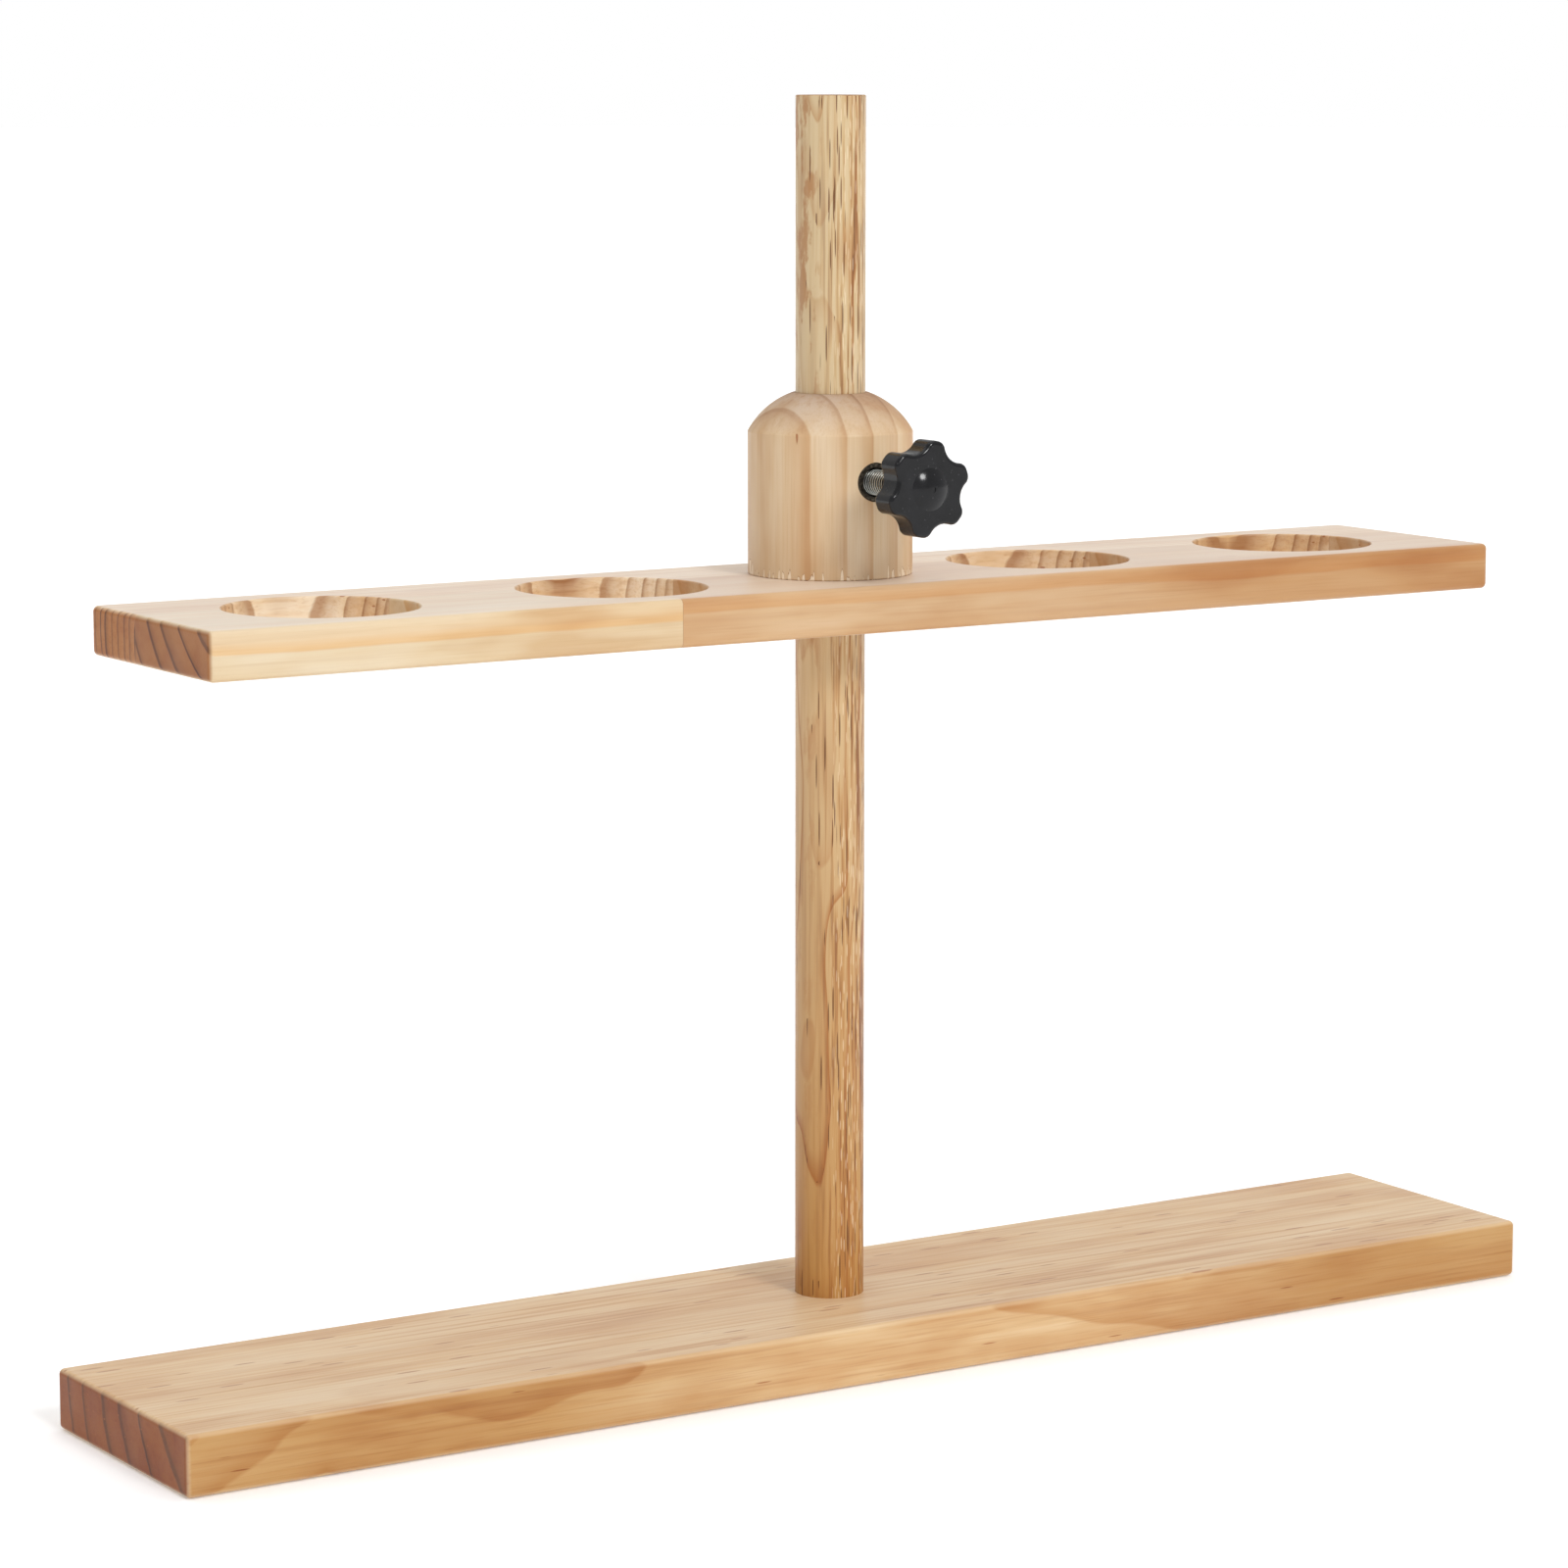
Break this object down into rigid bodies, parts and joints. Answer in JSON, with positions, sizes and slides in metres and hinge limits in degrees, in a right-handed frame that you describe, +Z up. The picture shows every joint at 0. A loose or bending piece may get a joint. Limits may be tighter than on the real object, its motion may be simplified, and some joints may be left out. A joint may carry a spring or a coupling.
{
  "type": "height-adjustable hole rack",
  "caption": "Long wooden base with a round post and a height-adjustable wooden shelf with round holes, locked to the post by a lobed clamping knob in a domed collar.",
  "frame": {"origin": "middle of the base board's underside, on the post's axis", "axes": "+X along the boards, -Y towards the clamping knob, +Z up along the post"},
  "size_m": [0.5, 0.1033, 0.401],
  "materials": {
    "base_wood": "clear-lacquered pine",
    "post_wood": "clear-lacquered open-pored hardwood",
    "holder_wood": "clear-lacquered pine",
    "collar_wood": "turned pine, clear-lacquered",
    "screw_steel": "yellow zinc-plated",
    "insert_steel": "dark zinc alloy",
    "stud_steel": "zinc-plated",
    "knob_plastic": "moulded black nylon"
  },
  "bodies": {
    "base": {"base_board": "base_wood"},
    "post": {"post": "post_wood", "post_screw": "screw_steel"},
    "shelf": {"holder_board": "holder_wood", "collar": "collar_wood", "threaded_insert": "insert_steel", "collar_screws": "screw_steel"},
    "stud": {"lock_stud": "stud_steel"},
    "knob": {"knob_head": "knob_plastic"}
  },
  "joints": [
    {"name": "post_swivel", "type": "hinge", "parent": "base", "child": "post", "pos_m": [0, 0, 0], "axis": [0, 0, 1], "continuous": true},
    {"name": "shelf_slide", "type": "slide", "parent": "post", "child": "shelf", "axis": [0, 0, 1], "range_m": [-0.215, 0.092]},
    {"name": "stud_travel", "type": "slide", "parent": "shelf", "child": "stud", "axis": [0, -1, 0], "range_m": [0, 0.0076]},
    {"name": "knob_turn", "type": "hinge", "parent": "stud", "child": "knob", "pos_m": [0, -0.043, 0.282], "axis": [0, -1, 0], "range_deg": [0, 2160]}
  ],
  "couplings": [
    {"joint": "stud_travel", "follows": "knob_turn", "m_per_rad": 0.00019894}
  ]
}
